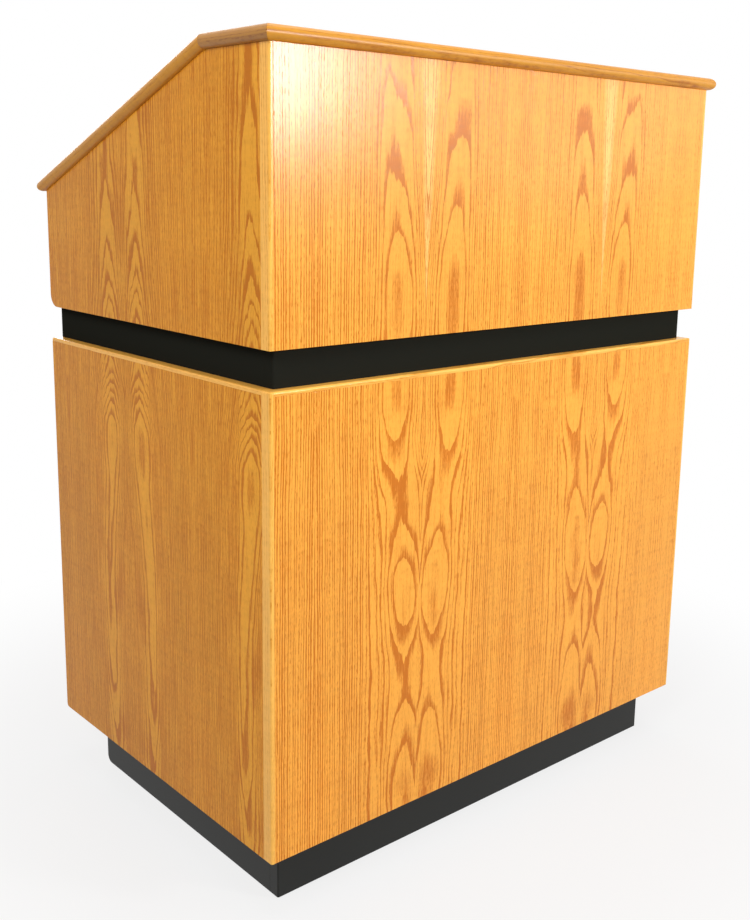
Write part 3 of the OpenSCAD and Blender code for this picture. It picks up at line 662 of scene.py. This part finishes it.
def screw_head(shape, place, facing, radius, height, turn):
    """Adds one head, standing out from a plate at place."""
    upright = facing.to_track_quat("Z", "Y").to_matrix().to_4x4()
    pose = Matrix.Translation(place) @ upright @ Matrix.Rotation(turn, 4, "Z")
    rim = bmesh.ops.create_circle(
        shape, segments=SIDES_OF_HEAD, radius=radius * DOME,
        matrix=pose @ Matrix.Translation((0, 0, height)),
    )["verts"]
    rim_edges = list({edge for vert in rim for edge in vert.link_edges})
    arm = radius * CROSS_ARM
    half = radius * CROSS_HALF
    corners = []
    for quarter in range(4):
        spin = Matrix.Rotation(quarter * math.pi / 2, 3, "Z")
        corners += [spin @ Vector(spot) for spot in ((half, half, height), (half, arm, height))]
        corners.append(spin @ Vector((-half, arm, height)))
    cross = [shape.verts.new(pose @ corner) for corner in corners]
    cross_edges = [shape.edges.new((cross[step - 1], cross[step])) for step in range(len(cross))]
    bmesh.ops.triangle_fill(shape, use_beauty=True, edges=rim_edges + cross_edges)
    sunk = bmesh.ops.extrude_edge_only(shape, edges=cross_edges)["geom"]
    low = [part for part in sunk if isinstance(part, bmesh.types.BMVert)]
    bmesh.ops.translate(shape, verts=low, vec=-facing * height * SUNK)
    low_edges = [
        part for part in sunk
        if isinstance(part, bmesh.types.BMEdge) and all(vert in low for vert in part.verts)
    ]
    # The recess floor takes the second slot, painted black as painted shade
    for face in bmesh.ops.triangle_fill(shape, use_beauty=True, edges=low_edges)["geom"]:
        if isinstance(face, bmesh.types.BMFace):
            face.material_index = 1
    skirt = bmesh.ops.extrude_edge_only(shape, edges=rim_edges)["geom"]
    foot = [part for part in skirt if isinstance(part, bmesh.types.BMVert)]
    bmesh.ops.translate(shape, verts=foot, vec=-facing * height)
    bmesh.ops.scale(
        shape, verts=foot, vec=(1 / DOME, 1 / DOME, 1), space=pose.inverted()
    )


def screws(name, host, facing, radius, height, spots):
    """Screws whose heads lie on one face of a piece, each stopped at a turn of its own."""
    shape = bmesh.new()
    for count, spot in enumerate(spots):
        screw_head(shape, Vector(spot), facing, radius, height, count * TURN_BETWEEN)
    bmesh.ops.recalc_face_normals(shape, faces=shape.faces)
    piece = show(shape, name, zinc, frame["nodes"][host]["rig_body"])
    # The second slot paints the recess floors black: painted shade
    piece.data.materials.append(black_powder_and_recess_shade)


# Where the hinges' leaves lie, from the leaves of the right door. Each leaf has three screws, at
# these heights from its middle and distances from its edge.
HINGE_H = 0.064
LEAF_GAP = 0.00025
LEAF_LOW, LEAF_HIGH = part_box("right_door_leaves")
HINGE_X = (LEAF_LOW.x + LEAF_HIGH.x) / 2
LEAF_SCREWS = ((-0.022, 0.0055), (0.0, 0.0098), (0.022, 0.0055))
LEAF_HEAD = 0.0031

# Screws of the other fittings: the radius of their heads, how far each is from the middle of its
# fitting, and how far in from an end or an edge
SMALL_HEAD = 0.0026
STRIKE_STEP = 0.013
CATCH_STEP = 0.014
KEEPER_STEP = 0.007
KEEPER_INSET = 0.008
KEEPER_T = 0.002
GUIDE_HEAD = 0.0022
GUIDE_STEP = 0.0075
GUIDE_INSET = 0.014
GUIDE_T = 0.002
PULL_HEAD = 0.0042
PULL_POST_SHARE = 1 / 8


def both_ways(middle, step):
    return middle - step, middle + step


def leaf_spots(x):
    """Three screws in each of the two leaves that lie one over the other at x."""
    return [
        (x, LEAF_LOW.y + inset, middle + rise)
        for middle in (LEAF_LOW.z + HINGE_H / 2, LEAF_HIGH.z - HINGE_H / 2)
        for rise, inset in LEAF_SCREWS
    ]


def door_screws(side, which):
    """The screws of one door's hinges, catch and pull, on the left for -1 and the right for 1."""
    door = which + "_door"
    screws(
        which + "_frame_leaf_screws", "hinge_frame_leaves", -side * X, LEAF_HEAD, FLUSH,
        leaf_spots(side * (HINGE_X + LEAF_GAP)),
    )
    screws(
        which + "_door_leaf_screws", door + "_leaves", side * X, LEAF_HEAD, FLUSH,
        leaf_spots(side * (HINGE_X - LEAF_GAP)),
    )
    low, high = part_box(which + "_strike")
    middle = (low + high) / 2
    screws(
        which + "_strike_screws", which + "_strike", -Y, SMALL_HEAD, FLUSH,
        [(x, low.y, middle.z) for x in both_ways(middle.x, STRIKE_STEP)],
    )
    under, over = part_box("catch_bodies")
    screws(
        which + "_catch_screws", "catch_bodies", -Z, SMALL_HEAD, PAN,
        [(x, (under.y + over.y) / 2, under.z) for x in both_ways(middle.x, CATCH_STEP)],
    )
    low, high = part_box(which + "_pull")
    inner_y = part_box("right_door")[0].y
    post = (high.y - low.y) * PULL_POST_SHARE
    screws(
        which + "_pull_screws", door, -Y, PULL_HEAD, 2 * PAN,
        [((low.x + high.x) / 2, inner_y, z) for z in (low.z + post, high.z - post)],
    )


def keeper_screws():
    low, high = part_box("lock_keeper")
    screws(
        "keeper_screws", "lock_keeper", -Z, SMALL_HEAD, PAN,
        [
            (x, low.y + KEEPER_INSET, high.z - KEEPER_T)
            for x in both_ways((low.x + high.x) / 2, KEEPER_STEP)
        ],
    )


def guide_screws():
    low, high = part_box("door_bolt_guides")
    screws(
        "guide_screws", "door_bolt_guides", -Y, GUIDE_HEAD, PAN,
        [
            (x, high.y - GUIDE_T, z)
            for x in both_ways((low.x + high.x) / 2, GUIDE_STEP)
            for z in (low.z + GUIDE_INSET, high.z - GUIDE_INSET)
        ],
    )


door_screws(-1, "left")
door_screws(1, "right")
keeper_screws()
guide_screws()

# Studio: a pale floor that turns into the white backdrop, a small and a broad light in front, and
# large soft lights on the left, above and behind. FILL is how strongly the backdrop lights the
# stand. The floor shows at least as white as LEAST_WHITE, and white from FADE_TO on.
FILL = 0.31
FLOOR_COLOUR = (0.56, 0.56, 0.56, 1)
FLOOR_HALF = 9.0
FADE_FROM = 0.5
FADE_TO = 1.2
LEAST_WHITE = 0.8
WHITE = (1, 1, 1, 1)


def seen(bench):
    """One for the rays that show the backdrop itself: camera, gloss and glass."""
    rays = bench.add("ShaderNodeLightPath").outputs
    straight = bench.math("MAXIMUM", rays["Is Camera Ray"], rays["Is Glossy Ray"])
    return bench.math("MAXIMUM", straight, rays["Is Transmission Ray"])


def mix(bench, share, first, second):
    """One shader for a share of 0, and another for 1."""
    node = bench.add("ShaderNodeMixShader")
    bench.feed_all(node.inputs, (share, first.outputs[0], second.outputs[0]))
    return node


def floor():
    shape = bmesh.new()
    bmesh.ops.create_grid(shape, x_segments=1, y_segments=1, size=FLOOR_HALF)
    material, bench, shader = new_material("pale floor")
    shader.inputs["Base Color"].default_value = FLOOR_COLOUR
    shader.inputs["Roughness"].default_value = 0.9
    shader.inputs["Specular IOR Level"].default_value = 0.1
    place = bench.add("ShaderNodeTexCoord")
    away = bench.add("ShaderNodeVectorMath", operation="LENGTH")
    bench.feed(away.inputs[0], place.outputs["Object"])
    fade = bench.ramp(away.outputs["Value"], FADE_FROM, FADE_TO, LEAST_WHITE, 1.0)
    white = bench.add("ShaderNodeEmission")
    white.inputs["Color"].default_value = WHITE
    above = mix(bench, bench.math("MULTIPLY", fade, seen(bench)), shader, white)
    # From below the floor is clear, so that the glides can be looked at
    under = bench.add("ShaderNodeNewGeometry").outputs["Backfacing"]
    both = mix(bench, under, above, bench.add("ShaderNodeBsdfTransparent"))
    bench.feed(material.node_tree.nodes["Material Output"].inputs[0], both.outputs[0])
    mesh = bpy.data.meshes.new("floor")
    shape.to_mesh(mesh)
    shape.free()
    mesh.materials.append(material)
    piece = bpy.data.objects.new("floor", mesh)
    bpy.context.scene.collection.objects.link(piece)


def backdrop():
    """A white world that lights the stand more softly than it shows."""
    world = bpy.data.worlds.new("white backdrop")
    world.use_nodes = True
    bench = Bench(world.node_tree)
    light = world.node_tree.nodes["Background"]
    light.inputs["Color"].default_value = WHITE
    strength = bench.math("MULTIPLY_ADD", seen(bench), 1.0 - FILL, FILL)
    bench.feed(light.inputs["Strength"], strength)
    bpy.context.scene.world = world


def softbox(name, place, target, size, power, spread=180.0):
    """A round light at a place that faces a target. spread is the angle that it shines into."""
    light = bpy.data.lights.new(name, "AREA")
    light.shape = "DISK"
    light.size = size
    light.energy = power
    light.spread = math.radians(spread)
    lamp = bpy.data.objects.new(name, light)
    place = Vector(place)
    lamp.location = place
    lamp.rotation_euler = (Vector(target) - place).to_track_quat("-Z", "Y").to_euler()
    bpy.context.scene.collection.objects.link(lamp)


# The camera's place and directions, and its focal length and middle in the picture's pixels, are
# those with which the corners of the stand lie where the photograph has them
CAMERA_PLACE = (-1.2354, -1.4433, 0.9874)
CAMERA_FORWARD = (0.64811, 0.73651, -0.1937)
CAMERA_RIGHT = (0.75283, -0.65799, 0.01702)
PICTURE_W = 750.0
PICTURE_H = 920.0
FOCAL_LENGTH = 1135.0
MIDDLE_ACROSS = 391.8
MIDDLE_DOWN = 406.2
SENSOR_W = 36.0


def photographer():
    """The photograph's own viewpoint: in front of the stand, to its left, just under its top."""
    forward = Vector(CAMERA_FORWARD).normalized()
    right = Vector(CAMERA_RIGHT).normalized()
    up = right.cross(forward)
    camera = bpy.data.cameras.new("camera")
    camera.sensor_fit = "HORIZONTAL"
    camera.sensor_width = SENSOR_W
    camera.lens = FOCAL_LENGTH * SENSOR_W / PICTURE_W
    camera.shift_x = (PICTURE_W / 2 - MIDDLE_ACROSS) / PICTURE_W
    camera.shift_y = (MIDDLE_DOWN - PICTURE_H / 2) / PICTURE_W
    camera.clip_end = 100.0
    stand = bpy.data.objects.new("camera", camera)
    facing = Matrix((right, up, -forward)).transposed().to_4x4()
    stand.matrix_world = Matrix.Translation(CAMERA_PLACE) @ facing
    bpy.context.scene.collection.objects.link(stand)
    bpy.context.scene.camera = stand


floor()
backdrop()
softbox(
    "key softbox", place=(1.22, -2.76, 1.42), target=(-0.15, -0.3, 1.1), size=0.52, power=18.5,
    spread=110,
)
softbox("broad softbox", place=(2.3, -2.3, 1.65), target=(0, 0, 0.9), size=1.6, power=14)
softbox("left softbox", place=(-2.2, -1.3, 2.2), target=(0, 0, 0.7), size=1.2, power=40)
softbox("top softbox", place=(0, -0.2, 3.2), target=(0, -0.2, 0), size=2.5, power=40)
softbox("rear softbox", place=(0.9, 3.3, 1.7), target=(0, 0, 0.6), size=1.8, power=34)
photographer()
bpy.context.scene.view_settings.view_transform = "Standard"
